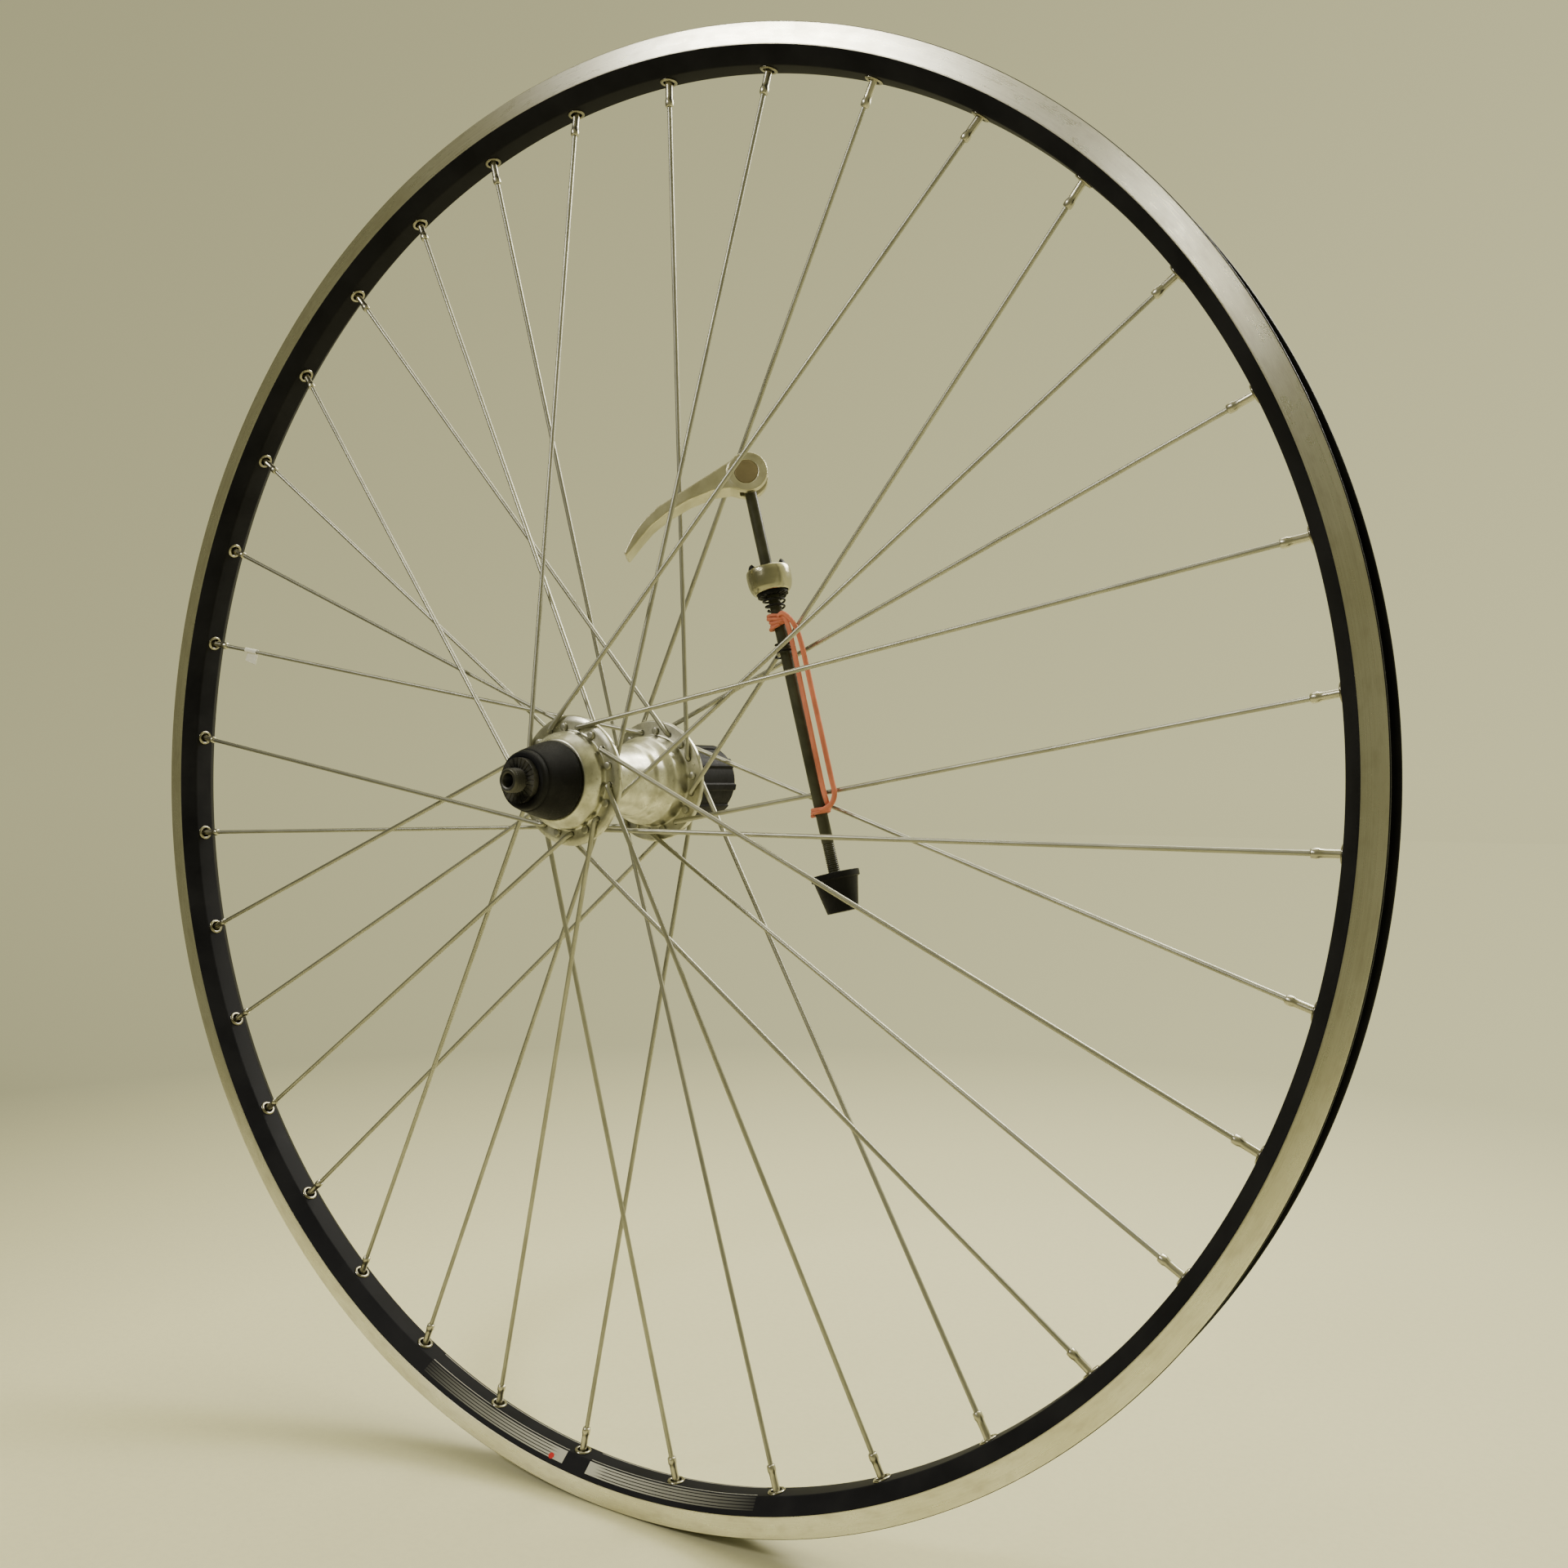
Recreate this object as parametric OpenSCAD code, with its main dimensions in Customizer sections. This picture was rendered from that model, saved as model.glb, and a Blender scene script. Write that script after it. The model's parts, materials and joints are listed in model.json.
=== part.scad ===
// Rear bicycle wheel, 36 spokes laced three-cross, with its quick-release skewer strapped between the spokes.
// The axle lies along Y. The origin is on the axle, midway between the two locknut faces.
// -Y is the side with the rubber boot, and +Y is the side with the freehub.
// An angle round the wheel is counted from +X towards +Z.

/* [Rim] */
// Outer radius of the rim, at the tips of its flanges
rim_r = 317; // [300:0.5:340]
// Overall width of the rim
rim_w = 20.6; // [19:0.1:26]
// Radius of the bed that the eyelets sit on
bed_r = 302.2; // [285:0.1:304]
// Height of the machined brake track
track_h = 9; // [8:0.5:11]
// Angle of the first spoke hole
first_hole = 5.38; // [0:0.01:10]

/* [Spokes] */
// Number of spokes in each of the four groups
group_n = 9; // [9]
// Angle that each spoke leads or trails its hub hole by
lead = 60; // [50:1:65]
// Diameter of a spoke
spoke_d = 2; // [1.8:0.1:2.3]
// Length of nipple that shows below the rim
nipple_out = 10.5; // [8:0.5:12]

/* [Hub] */
// Distance between the two locknut faces
hub_w = 135; // [130:5:140]
// Length of axle that stands out past each locknut
axle_out = 5.5; // [4:0.5:7]
// Outer radius of the axle
axle_r = 5; // [5:0.5:5]
// Radius of the bore through the axle
axle_bore_r = 2.8; // [2.6:0.1:3]
// Radius of the circle of spoke holes
hole_circle_r = 22.6; // [22:0.1:24]
// Radius of the left flange
flange_l_r = 27.5; // [26.5:0.1:29]
// Radius of the right flange
flange_r_r = 27.4; // [26.5:0.1:29]

/* [Freehub] */
// Radius over the splines
spline_r = 17.3; // [17:0.1:17.5]
// Number of ratchet teeth
ratchet_n = 24; // [24]
// Angle that the pawls are drawn in by, where 0 is engaged
pawl_in = 15; // [0:1:15]

/* [Skewer] */
// Diameter of the skewer rod
rod_d = 5; // [5]
// Distance from the cam pin to the end of the nut
skewer_l = 187; // [187]
// Lean of the rod from vertical, in the plane of the wheel
rod_lean = 14; // [13:0.5:15]
// Turn of the lever about the rod
lever_turn = 33; // [30:1:35]

/* [Hidden] */
$fn = 96;

half_w = rim_w / 2;
spoke_r = spoke_d / 2;
spoke_n = 4 * group_n;
pitch = 360 / spoke_n;
group_pitch = 360 / group_n;

// rim section
wall = 1.6;
bed_half = 4.5;
track_in_r = rim_r - track_h;
seat_r = 311;
well_r = 309;
eyelet_hole_r = 3;
access_r = 3.6;
valve_r = 3.25;
valve_angle = 350.38;
seam_angle = 170.38;
sleeve_span = 4;

// eyelets and nipples
eyelet_r = 3.8;
eyelet_bore_r = 2.4;
eyelet_t = 0.8;
nipple_r = 1.95;
nipple_flat = 3.2;
nipple_head_r = 2.9;

// hub, places along the axle
face = hub_w / 2;
axle_end = face + axle_out;
axle_tip_r = axle_r - 0.2;
axle_tip_l = axle_out - 0.2;
flange_l = [-37.2, -34];
flange_r = [19.4, 22.6];
elbow_gap = 1.9;
elbow_in_gap = 1.2;
spoke_hole_r = 1.3;
head_r = 1.9;
head_t = 1.05;
head_gap = 0.05;
elbow_r = 1.08;
shell_l = -46;
shell_r = 25.2;

// hub bearings
ball_r = 3.175;
race_r = 3.21;
ball_circle = 9.64;
ball_n = 9;
left_ball_y = -42;
right_ball_y = 56;
fit = 0.02;

// freehub
fh_in = 26;
fh_out = 61;
spline_root_r = 16.3;
spline_n = 9;
fh_bore_r = 14.3;
lockring_r = 15.3;
lockring_y = 53;
inner_r = 12.8;
small_ball_r = 1.5875;
small_race_r = 1.62;
small_circle = 13.35;
small_n = 22;
ratchet_y = [30.6, 38.4];
ratchet_tip_r = 13.3;
pawl_y = [31.4, 37.6];
pawl_pivot = [11.2, 0];
pawl_heel_r = 1.4;
spring_y = [34.2, 34.8];

// skewer, places along the rod counted from the cam pin
pin_at = [60.5, 6.8, 128.1];
rod_tip_lean = 1;
rod_r = rod_d / 2;
head_s = 8.4;
head_w = 13;
cheek_slot = 5.4;
arm_w = 12;
eye_r = 5.4;
eye_bore_r = 3.15;
eye_t = 4.6;
cam_end_r = 4.9;
cam_mid_r = 3.1;
cup_s = 41;
cup_h = 10.5;
cup_r = 9.4;
thread_s = 158;
nut_s = 171;
rod_end_s = 181;
band_r = 0.8;
wrap_r = rod_r + band_r + 0.1;

rim_col = "#17171a";
silver = "#c9cacc";
steel = "#9a9b9d";
spoke_col = "#b9b49c";
brass_col = "#b8ad86";
black = "#1a1a1c";
red = "#c84a3c";
bronze = "#6f5a3c";

// ---- helpers ----

// a point at radius r, angle a round the wheel and place y along the axle
function polar(r, a, y = 0) = [r * cos(a), y, r * sin(a)];

// turns what is drawn up +Z to lie along +Y, starting at place y on the axle
module along_axle(y = 0) translate([0, y, 0]) rotate([-90, 0, 0]) children();

// puts what is drawn along +X at angle a round the wheel
module at_angle(a) rotate([0, -a, 0]) children();

// an outline of [radius, place on the axle] points, turned about the axle
module turned(points) along_axle() rotate_extrude() polygon(points);

// a tube about the axle from y0 to y1
module tube(y0, y1, outer, inner) along_axle(y0) difference() {
    cylinder(r = outer, h = y1 - y0);
    translate([0, 0, -1]) cylinder(r = inner, h = y1 - y0 + 2);
}

// a round bar between two points
module bar(p, q, r, grow = 0, sides = 24) {
    v = q - p;
    translate(p) rotate([0, acos(v[2] / norm(v)), atan2(v[1], v[0])])
        translate([0, 0, -grow]) cylinder(r = r, h = norm(v) + 2 * grow, $fn = sides);
}

// the doughnut that the bearing balls roll in
module ball_race(y, circle_r, r) along_axle(y)
    rotate_extrude() translate([circle_r, 0]) circle(r = r, $fn = 48);

// a ring of balls
module ball_ring(y, circle_r, r, n) for (i = [0 : n - 1])
    translate(polar(circle_r, i * 360 / n, y)) sphere(r = r, $fn = 32);

// ---- rim ----

module rim_outline() polygon([
    [bed_r, -bed_half], [bed_r, bed_half], [track_in_r, half_w], [rim_r - 0.6, half_w],
    [rim_r, half_w - 0.5], [rim_r, half_w - 1.5], [rim_r - 1.4, half_w - 2.1], [seat_r + 1, half_w - wall],
    [seat_r, half_w - wall - 0.6], [seat_r - 0.4, half_w - 3.6], [well_r, bed_half - 0.6],
    [well_r, 0.6 - bed_half], [seat_r - 0.4, 3.6 - half_w], [seat_r, 0.6 + wall - half_w],
    [seat_r + 1, wall - half_w], [rim_r - 1.4, 2.1 - half_w], [rim_r, 1.5 - half_w], [rim_r, 0.5 - half_w],
    [rim_r - 0.6, -half_w], [track_in_r, -half_w]
]);

chamber_in = bed_r + 1.8;
chamber_out = well_r - 1.5;

module chamber_outline(gap = 0) polygon([
    [chamber_in + gap, gap - bed_half + 0.2], [chamber_in + gap, bed_half - 0.2 - gap],
    [chamber_out + 0.3 - gap, half_w - 2.3 - gap], [chamber_out - gap, bed_half - gap],
    [chamber_out - gap, gap - bed_half], [chamber_out + 0.3 - gap, 2.3 - half_w + gap]
]);

module rim() color(rim_col) difference() {
    along_axle() rotate_extrude($fn = 180) rim_outline();
    along_axle() rotate_extrude($fn = 180) chamber_outline();
    for (i = [0 : spoke_n - 1]) at_angle(first_hole + i * pitch) {
        translate([bed_r - 2, 0, 0]) rotate([0, 90, 0]) cylinder(r = eyelet_hole_r, h = 4, $fn = 32);
        translate([chamber_out - 1, 0, 0]) rotate([0, 90, 0]) cylinder(r = access_r, h = 5, $fn = 32);
    }
    at_angle(valve_angle) translate([bed_r - 3, 0, 0]) rotate([0, 90, 0])
        cylinder(r = valve_r, h = 12, $fn = 32);
}

// joins the two ends of the rim, inside the chamber
module rim_sleeve() color(steel) along_axle() rotate([0, 0, -seam_angle - sleeve_span / 2])
    rotate_extrude(angle = sleeve_span, $fn = 180) chamber_outline(0.15);

module eyelets() color(silver) for (i = [0 : spoke_n - 1]) at_angle(first_hole + i * pitch)
    translate([bed_r - 0.05, 0, 0]) rotate([0, 90, 0]) difference() {
        union() {
            translate([0, 0, -eyelet_t]) cylinder(r = eyelet_r, h = eyelet_t, $fn = 32);
            translate([0, 0, -0.1]) cylinder(r = eyelet_hole_r - 0.1, h = 2.1, $fn = 32);
        }
        translate([0, 0, -2]) cylinder(r = eyelet_bore_r, h = 6, $fn = 32);
    }

// ---- spokes ----

// four groups: first rim angle, lead of the hub hole, place of the elbow, flange face at the head, its side
GROUPS = [
    [first_hole + pitch, lead, flange_l[0] - elbow_gap, flange_l[1], 1],
    [first_hole - pitch, -lead, flange_l[1] + elbow_in_gap, flange_l[0], -1],
    [first_hole, -lead, flange_r[0] - elbow_in_gap, flange_r[1], 1],
    [first_hole - 2 * pitch, lead, flange_r[1] + elbow_gap, flange_r[0], -1]
];

function rim_end(g, i) = polar(bed_r, g[0] + i * group_pitch);
function hub_end(g, i) = polar(hole_circle_r, g[0] + g[1] + i * group_pitch, g[2]);
function spoke_dir(g, i) = (rim_end(g, i) - hub_end(g, i)) / norm(rim_end(g, i) - hub_end(g, i));

module spoke(g, i) {
    corner = hub_end(g, i);
    head_y = g[3] + g[4] * head_gap;
    head_at = [corner[0], head_y, corner[2]];
    bar(corner, rim_end(g, i) - spoke_dir(g, i) * 1.5, spoke_r);
    translate(corner) sphere(r = elbow_r, $fn = 32);
    bar(corner, head_at + [0, g[4] * 0.5, 0], spoke_r);
    bar(head_at, head_at + [0, g[4] * head_t, 0], head_r);
}

module spoke_group(g) color(spoke_col) for (i = [0 : group_n - 1]) spoke(g, i);
module spokes_left_outer() spoke_group(GROUPS[0]);
module spokes_left_inner() spoke_group(GROUPS[1]);
module spokes_right_inner() spoke_group(GROUPS[2]);
module spokes_right_outer() spoke_group(GROUPS[3]);

// square body below the rim, round shank through the eyelet and a round head in the chamber
module nipple(p, u) difference() {
    union() {
        bar(p - u * nipple_out, p - u * 1.6, nipple_flat / sqrt(2), sides = 4);
        bar(p - u * 1.8, p + u * 2.8, nipple_r);
        bar(p + u * 2.6, p + u * 5, nipple_head_r);
    }
    bar(p - u * (nipple_out + 1), p - u, spoke_r + fit);
}

module nipples() color(brass_col)
    for (g = GROUPS, i = [0 : group_n - 1]) nipple(rim_end(g, i), spoke_dir(g, i));

// ---- hub ----

module hub_shell_outline() polygon([
    [14.2, shell_l], [17, shell_l], [17.6, shell_l + 0.6], [20.3, -41.4], [20.7, -40.4], [20.5, -38.4],
    [20.4, flange_l[0]], [25, flange_l[0]], [flange_l_r, flange_l[0] + 0.8], [flange_l_r, flange_l[1] - 0.6],
    [flange_l_r - 0.6, flange_l[1]], [20.4, flange_l[1]], [18, -32.6], [16.2, -29.6], [15.5, -26],
    [15.1, -12], [15.5, 1.5], [16.9, 3.2], [17.1, 8], [18.6, 9.8], [19.8, 11.2], [20, 15.6], [20.2, 18.6],
    [20.5, flange_r[0]], [flange_r_r - 0.6, flange_r[0]], [flange_r_r, flange_r[0] + 0.6],
    [flange_r_r, flange_r[1] - 0.8], [25, flange_r[1]], [20.6, flange_r[1]], [20.2, shell_r], [12, shell_r],
    [12, 16], [7.55, 16], [7.55, 8], [11.6, 5.5], [11.6, -33], [12.4, -37.6], [14.2, -37.6]
]);

module spoke_holes(g, y0, y1) for (i = [0 : group_n - 1])
    bar(polar(hole_circle_r, g[0] + g[1] + i * group_pitch, y0),
        polar(hole_circle_r, g[0] + g[1] + i * group_pitch, y1), spoke_hole_r);

module hub_shell() color(silver) difference() {
    along_axle() rotate_extrude() hub_shell_outline();
    for (g = [GROUPS[0], GROUPS[1]]) spoke_holes(g, flange_l[0] - 1, flange_l[1] + 1);
    for (g = [GROUPS[2], GROUPS[3]]) spoke_holes(g, flange_r[0] - 1, flange_r[1] + 1);
}

// bearing cup about a ring of balls at place y; side is -1 where it opens towards -Y and 1 towards +Y
module bearing_cup(y, side, outer) difference() {
    turned([
        [8.4, y - side * 4.4], [outer, y - side * 4.4], [outer, y + side * 3.4], [11, y + side * 3.4],
        [11, y], [9.6, y - side * 3.1], [8.4, y - side * 3.1]
    ]);
    ball_race(y, ball_circle, race_r);
}

// bearing cone about the axle, with its shank running outwards to place y_end
module bearing_cone(y, side, y_end) difference() {
    turned([
        [axle_r + fit, y - side * 2.4], [6.3, y - side * 2.4], [7, y - side * 0.5], [9.4, y + side * 4],
        [9.4, y + side * 4.6], [8, y + side * 5.4], [8, y_end], [axle_r + fit, y_end]
    ]);
    ball_race(y, ball_circle, race_r);
}

module left_cup() color(steel) bearing_cup(left_ball_y, -1, 14.2 - fit);
module left_dust_cap() color(steel) tube(shell_l, shell_l + 0.6, 14.2 - fit, 9.9);
module left_balls() color(silver) ball_ring(left_ball_y, ball_circle, ball_r, ball_n);
module left_cone() color(steel) bearing_cone(left_ball_y, -1, -53);
module left_washer() color(steel) tube(-55, -53, 8, axle_r + fit);
module left_spacer() color(black) tube(-62, -55, 8, axle_r + fit);

// locknut with radial teeth on its outer face; side points outwards
module locknut(y_in, side, outer) difference() {
    if (side > 0) tube(y_in, face, outer, axle_r + fit);
    else tube(-face, y_in, outer, axle_r + fit);
    for (i = [0 : 23]) at_angle(i * 15) translate([7.5, side * (face + 0.1), 0]) rotate([45, 0, 0])
        cube([8, 0.7, 0.7], center = true);
}

module left_locknut() color(black) locknut(-62, -1, 9.2);
module right_locknut() color(black) locknut(63, 1, 8.8);

// rubber boot over the left cone and spacer
module left_boot() color(black) turned([
    [12.6, -46.4], [16.3, -46.4], [16.4, -47.4], [16.1, -50], [12.3, -63.6], [11.9, -64.6], [11.3, -65],
    [9.3, -65], [9.3, -61.8], [8.05, -61.8], [8.05, -53.4], [12.6, -51.6]
]);

// threaded between the two ends, which are turned down a little where they sit in the dropouts
module axle() color(black) difference() {
    union() {
        along_axle(-axle_end) cylinder(r = axle_tip_r, h = 2 * axle_end);
        along_axle(axle_tip_l - axle_end) cylinder(r = axle_r, h = 2 * (axle_end - axle_tip_l));
    }
    along_axle(-axle_end - 1) cylinder(r = axle_bore_r, h = 2 * axle_end + 2);
}

module right_cone() color(steel) bearing_cone(right_ball_y, 1, 62);
module right_balls() color(silver) ball_ring(right_ball_y, ball_circle, ball_r, ball_n);
module right_cup() color(steel) bearing_cup(right_ball_y, 1, 13.9);
module right_dust_cap() color(steel) tube(59.4, 60.2, 13.9, 9.9);
module right_spacer() color(steel) tube(62, 63, 8, axle_r + fit);

// ---- freehub ----

// one spline on the freehub, w degrees wide
module spline(a, w) along_axle(fh_in + 3) linear_extrude(height = fh_out - fh_in - 3)
    polygon([
        for (t = [-1, 1]) (spline_root_r - 0.5) * [cos(a + t * w / 2), sin(a + t * w / 2)],
        for (t = [1, 0.33, -0.33, -1]) spline_r * [cos(a + t * w / 2.2), sin(a + t * w / 2.2)]
    ]);

// the ring of saw teeth that the pawls catch, drawn as the space inside it
module ratchet_space() along_axle(ratchet_y[0]) linear_extrude(height = ratchet_y[1] - ratchet_y[0])
    polygon([
        for (i = [0 : ratchet_n - 1], c = [[0, ratchet_tip_r], [1, fh_bore_r + 0.2]])
            c[1] * [cos((i + c[0] * 0.98) * 360 / ratchet_n), sin((i + c[0] * 0.98) * 360 / ratchet_n)]
    ]);

module freehub_shell() color(black) difference() {
    union() {
        tube(fh_in, fh_out, spline_root_r, 10);
        tube(fh_in, fh_in + 3.5, spline_r + 0.3, 10);
        for (i = [0 : spline_n - 1]) spline(i * 360 / spline_n + 10, i == 0 ? 11 : 17);
    }
    along_axle(fh_in - 1) cylinder(r = fh_bore_r, h = ratchet_y[0] - fh_in + 1);
    ratchet_space();
    along_axle(ratchet_y[1]) cylinder(r = fh_bore_r, h = fh_out - ratchet_y[1] + 1);
    along_axle(lockring_y) cylinder(r = lockring_r, h = fh_out - lockring_y + 1);
    ball_race(28.4, small_circle, small_race_r);
    ball_race(46.5, small_circle, small_race_r);
}

pawl_outline = [[10.3, 1], [12.4, -0.7], [13.3, 3.95], [12.75, 3.7], [12.2, 4.15], [11.6, 4.4]];

pawl_slot_x = 11.3;
pawl_at = 11.4;

// a pawl lying at angle a, turned in about its heel by pawl_in, with a slot for the spring
module pawl(a) color(steel) along_axle(pawl_y[0])
    rotate([0, 0, a]) translate(pawl_pivot) rotate([0, 0, pawl_in]) translate(-pawl_pivot) difference() {
        linear_extrude(height = pawl_y[1] - pawl_y[0]) union() {
            translate(pawl_pivot) circle(r = pawl_heel_r, $fn = 32);
            polygon(pawl_outline);
        }
        translate([pawl_slot_x, -3, spring_y[0] - pawl_y[0] - 0.3])
            cube([4, 9, spring_y[1] - spring_y[0] + 0.6]);
    }

module pawl_a() pawl(pawl_at);
module pawl_b() pawl(pawl_at + 180);

// the hollow in the inner body that a pawl lies and turns in
module pawl_pocket(a) along_axle(pawl_y[0] - 0.2) rotate([0, 0, a])
    linear_extrude(height = pawl_y[1] - pawl_y[0] + 0.4) union() {
        translate(pawl_pivot) circle(r = pawl_heel_r + 0.06, $fn = 32);
        polygon([[9.7, 1.4], [11.2, -1.3], [14, -1.3], [14, 6.4], [11, 6.4], [9.9, 4.8]]);
    }

module freehub_inner() color(steel) difference() {
    union() {
        tube(16.1, shell_r + 0.4, 11.95, 7.55);
        tube(shell_r + 0.3, 51.6, inner_r, 7.55);
    }
    along_axle(43) cylinder(r = 10.6, h = 10);
    pawl_pocket(pawl_at);
    pawl_pocket(pawl_at + 180);
    tube(spring_y[0] - 0.2, spring_y[1] + 0.2, 15, 12);
    ball_race(28.4, small_circle, small_race_r);
    ball_race(46.5, small_circle, small_race_r);
}

module pawl_spring() color(silver) along_axle(spring_y[0]) rotate([0, 0, 40])
    rotate_extrude(angle = 340) translate([12.05, 0]) square([0.6, spring_y[1] - spring_y[0]]);

// hollow bolt that holds the freehub to the hub shell
module freehub_bolt() color(steel) difference() {
    union() {
        tube(9, 43.2, 7.5, 5.6);
        tube(43.05, 49.5, 10.5, 5.6);
    }
    along_axle(44.5) cylinder(r = 6, h = 6, $fn = 6);
}

module freehub_balls_inboard() color(silver) ball_ring(28.4, small_circle, small_ball_r, small_n);
module freehub_balls_outboard() color(silver) ball_ring(46.5, small_circle, small_ball_r, small_n);

// ---- skewer ----

// the skewer's own frame: the cam pin is at the origin along Y, and the rod runs down -Z
module skewer_frame() translate(pin_at)
    rotate([rod_tip_lean, -rod_lean, 0]) rotate([0, 0, lever_turn]) children();

// a cylinder about the rod from s0 to s1 below the cam pin
module on_rod(s0, s1, r0, r1 = -1, sides = 64) translate([0, 0, -s1])
    cylinder(r1 = r1 < 0 ? r0 : r1, r2 = r0, h = s1 - s0, $fn = sides);

// a cylinder along the cam pin, w wide
module across(w, r) rotate([90, 0, 0]) cylinder(r = r, h = w, center = true, $fn = 64);

module skewer_rod() color("#2b2a28") skewer_frame() difference() {
    union() {
        across(eye_t, eye_r);
        on_rod(4.5, thread_s, rod_r);
        on_rod(thread_s - 0.1, rod_end_s, rod_r - 0.1);
        for (s = [thread_s + 1 : 0.8 : rod_end_s - 1]) on_rod(s, s + 0.4, rod_r);
    }
    across(eye_t + 2, eye_bore_r);
}

module cam_pin() color(bronze) skewer_frame() {
    across(head_w, cam_mid_r);
    for (t = [-1, 1]) translate([0, t * (head_w + cheek_slot) / 4, 0])
        across((head_w - cheek_slot) / 2, cam_end_r);
}

// side view of the lever's arm, [across, along the rod], upper edge first
arm_upper = [
    [0, 8.2], [-9, 4.9], [-17.2, 1.8], [-28.9, -2.7], [-39.6, -6.8],
    [-46.8, -11.6], [-51.8, -16.4], [-56.9, -23.2]
];
arm_lower = [
    [-56, -24.4], [-49.4, -18.8], [-43.6, -14.2], [-36, -10.2],
    [-26, -6.8], [-15, -4.8], [-8, -5.4], [-4, -7.4]
];
cam_offset = 0.5;

module lever() color("#c3bea9") skewer_frame() difference() {
    union() {
        translate([cam_offset, 0, 0]) across(head_w, head_s);
        rotate([90, 0, 0]) linear_extrude(height = arm_w, center = true)
            polygon(concat(arm_upper, arm_lower));
    }
    across(head_w + 2, cam_end_r + fit);
    across(cheek_slot, eye_r + 0.4);
    for (a = [-10 : 10 : 90]) rotate([0, -a, 0]) translate([0, 0, -10])
        cube([6.2, cheek_slot, 20], center = true);
}

// polished ring that bears on the dropout
module cup() color(silver) skewer_frame() translate([0, 0, -cup_s - cup_h]) rotate_extrude()
    polygon([
        [6.6, 0], [8.3, 0], [8.9, 0.9], [9.3, 3], [cup_r, 5.4], [9.2, 8.4], [8.8, 9.8], [8.2, cup_h],
        [7.2, cup_h], [7.2, 2], [6.6, 2]
    ]);

// black saddle in the cup, hollowed for the lever's head, with a rounded ear at each side
module cup_saddle() color(black) skewer_frame() difference() {
    intersection() {
        on_rod(cup_s - 4, cup_s + 8.4, 7.15);
        union() {
            on_rod(cup_s - 0.4, cup_s + 9, 8);
            for (t = [-1, 1]) translate([t * 5.2, 0, 0.6 - cup_s]) across(9, 2.5);
        }
    }
    translate([0, 0, 5 - cup_s]) across(20, 6.4);
    on_rod(0, 60, rod_r + 0.1);
}

module cup_washer() color(black) skewer_frame() difference() {
    on_rod(cup_s + 8.5, cup_s + cup_h + 1.4, 6.5);
    on_rod(0, 60, rod_r + 0.1);
    for (i = [0 : 15]) rotate([0, 0, i * 22.5]) translate([5, 0, -cup_s - cup_h - 1.4]) rotate([0, 45, 90])
        cube([0.7, 8, 0.7], center = true);
}

// points of a conical coil from s0 to s1, its radius going from r0 to r1
function coil_points(s0, s1, r0, r1, turns, per_turn) = [
    for (i = [0 : turns * per_turn]) let (t = i / (turns * per_turn), a = 360 * i / per_turn)
        [(r0 + (r1 - r0) * t) * cos(a), (r0 + (r1 - r0) * t) * sin(a), -(s0 + (s1 - s0) * t)]
];

// a wire of radius w swept along points
module wire(points, w, sides = 6) {
    n = len(points);
    function tangent(i) = let (v = points[min(i + 1, n - 1)] - points[max(i - 1, 0)]) v / norm(v);
    rings = [for (i = [0 : n - 1]) let (
        t = tangent(i), side = cross(t, [0, 0, 1]) / norm(cross(t, [0, 0, 1])), up = cross(side, t))
        for (k = [0 : sides - 1]) points[i] + w * (cos(360 * k / sides) * side + sin(360 * k / sides) * up)];
    faces = concat(
        [[for (k = [0 : sides - 1]) k]],
        [for (i = [0 : n - 2], k = [0 : sides - 1]) let (m = (k + 1) % sides)
            [i * sides + k, (i + 1) * sides + k, (i + 1) * sides + m, i * sides + m]],
        [[for (k = [sides - 1 : -1 : 0]) (n - 1) * sides + k]]);
    polyhedron(points = rings, faces = faces);
}

module spring_lever_side() color(black) skewer_frame() wire(coil_points(53.6, 59, 4.4, 3.1, 3, 14), 0.45);
module spring_nut_side() color(black) skewer_frame() wire(coil_points(72.4, 79, 3.1, 4.1, 3, 14), 0.45);

module nut_insert() color("#e0ddd2") skewer_frame() difference() {
    on_rod(nut_s + 1, nut_s + 11, 4.2);
    on_rod(nut_s, nut_s + 12, rod_r + 0.05);
}

nut_h = skewer_l - nut_s;

// conical thumb nut with a wide lip and flutes round its side
module skewer_nut() color(black) skewer_frame() difference() {
    union() {
        on_rod(nut_s, nut_s + 2.6, 10.1, 10);
        on_rod(nut_s + 2.5, nut_s + nut_h, 9.2, 6.4);
    }
    on_rod(nut_s - 1, nut_s + 11.2, 4.3);
    for (i = [0 : 11]) rotate([0, 0, i * 30]) translate([9.9, 0, -nut_s - 10.6])
        rotate([0, 9, 0]) cylinder(r = 1.5, h = 15.8, center = true, $fn = 24);
}

// rubber band: turns about the rod at both ends, and two strands of [x, y, place along the rod]
band_turns = [60.6, 62.3, 64, 65.7, 144.2, 145.9];
band_strands = [
    [[5.1, -1.6, 63.5], [5.8, -1.6, 72], [5.9, -1.4, 141], [5.1, -1.4, 146]],
    [[5.3, 0.8, 62], [7.2, 0.4, 74], [7.6, 0.5, 139], [5.2, 0.6, 144.5]]
];

module rubber_band() color(red) skewer_frame() {
    for (s = band_turns) translate([0, 0, -s])
        rotate_extrude($fn = 48) translate([wrap_r, 0]) circle(r = band_r, $fn = 16);
    rotate([0, 0, -lever_turn]) for (p = band_strands, i = [0 : 2]) {
        a = [p[i][0], p[i][1], -p[i][2]];
        b = [p[i + 1][0], p[i + 1][1], -p[i + 1][2]];
        bar(a, b, band_r);
        translate(b) sphere(r = band_r + fit, $fn = 24);
    }
}

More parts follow.
